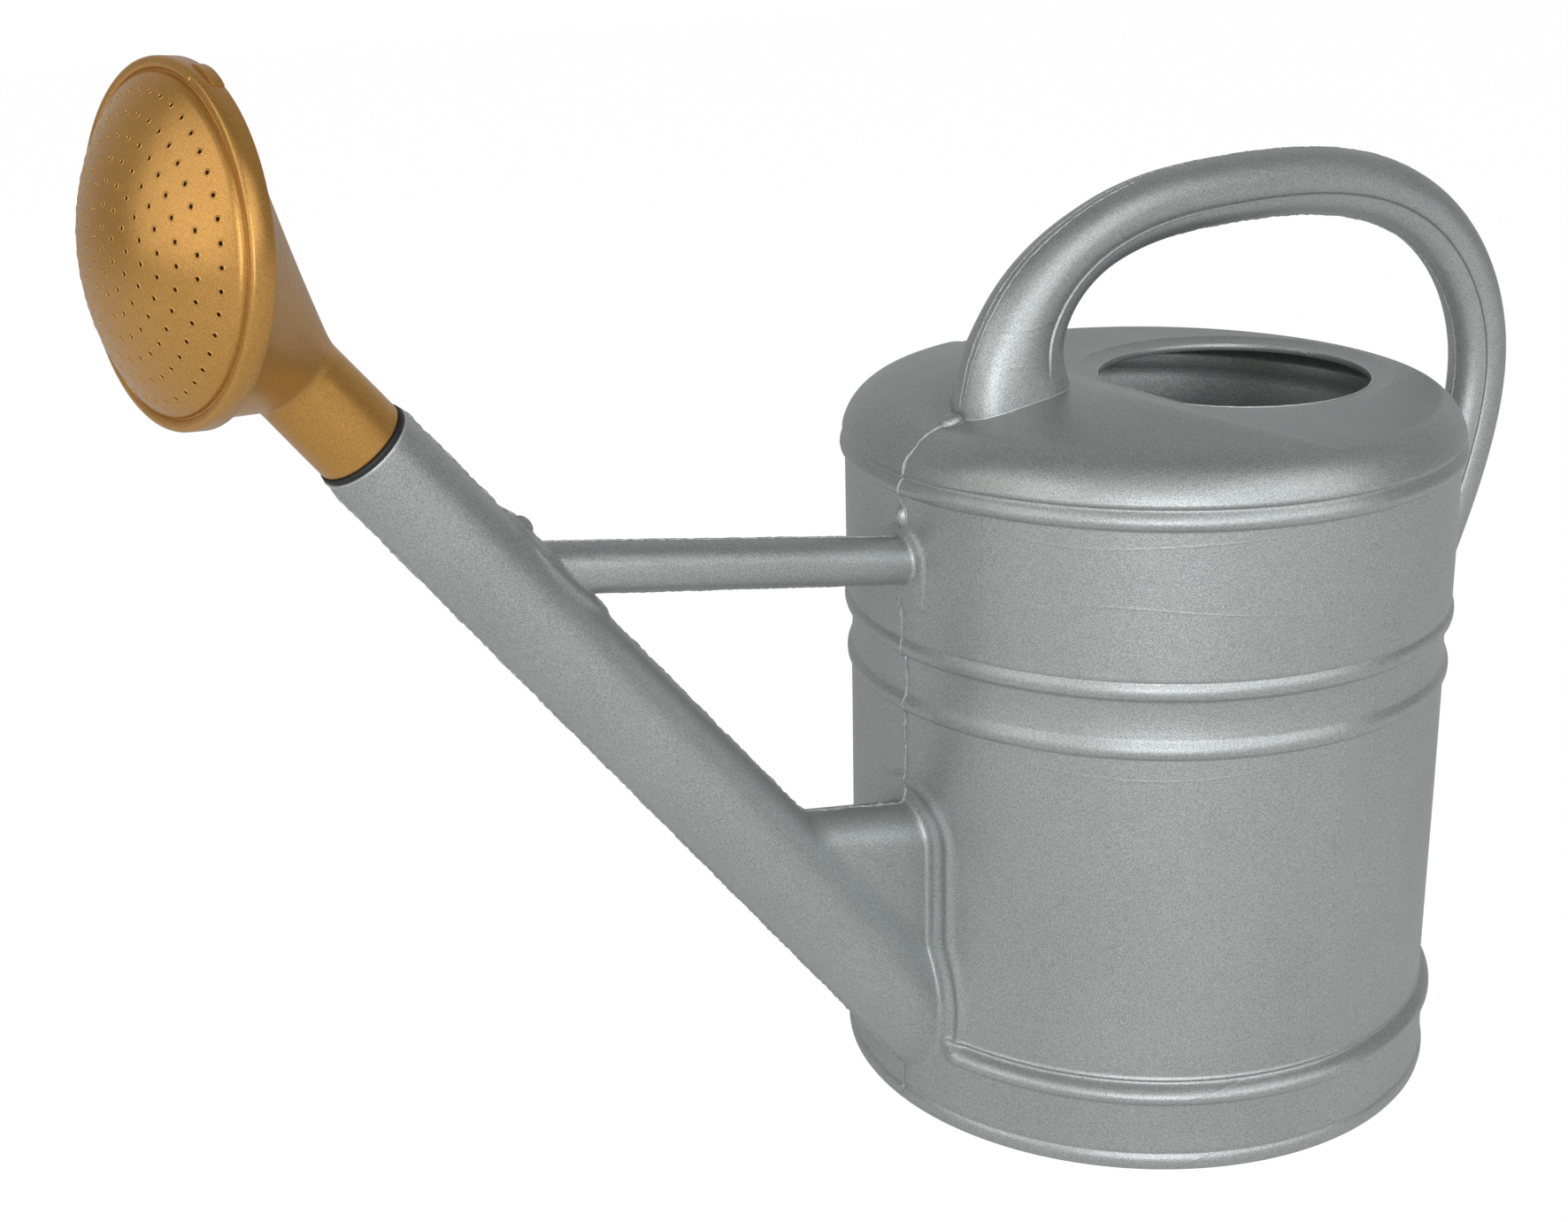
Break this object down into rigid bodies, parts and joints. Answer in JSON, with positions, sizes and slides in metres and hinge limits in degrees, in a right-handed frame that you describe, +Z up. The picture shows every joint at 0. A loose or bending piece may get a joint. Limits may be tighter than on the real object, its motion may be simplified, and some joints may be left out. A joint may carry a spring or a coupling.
{
  "type": "watering can",
  "caption": "Round watering can with a bow handle, a half-covered filler opening and a long braced spout that carries a round, pull-off sprinkler rose.",
  "frame": {"origin": "centre of the base, on the surface that the can stands on", "axes": "+Z up, the spout towards -X and the back of the handle towards +X"},
  "size_m": [0.5887, 0.2382, 0.4195],
  "materials": {
    "silver_plastic": "satin metallic grey with a fine moulded grain",
    "gold_plastic": "satin metallic gold",
    "seal_rubber": "matte black"
  },
  "bodies": {
    "can": {"base_pan": "silver_plastic", "lower_wall": "silver_plastic", "waist_band": "silver_plastic", "upper_wall": "silver_plastic", "hood": "silver_plastic", "filler_panel": "silver_plastic", "handle": "silver_plastic", "spout_tube": "silver_plastic", "spout_gusset": "silver_plastic", "spout_border": "silver_plastic", "brace_tube": "silver_plastic", "brace_wall_pad": "silver_plastic", "brace_spout_pad": "silver_plastic", "hood_nub": "silver_plastic"},
    "seal": {"rose_seal": "seal_rubber"},
    "rose": {"rose_body": "gold_plastic"},
    "sieve_face": {"rose_face": "gold_plastic", "rose_tab": "gold_plastic"}
  },
  "joints": [
    {"name": "rose_pull", "type": "slide", "parent": "can", "child": "seal", "axis": [-0.628, 0, 0.7782], "range_m": [0, 0.04]},
    {"name": "rose_turn", "type": "hinge", "parent": "seal", "child": "rose", "pos_m": [-0.31808, 0, 0.29928], "axis": [-0.628, 0, 0.7782], "continuous": true},
    {"name": "face_unclip", "type": "slide", "parent": "rose", "child": "sieve_face", "axis": [-0.9848, -0.1434, 0.098], "range_m": [0, 0.025]}
  ]
}
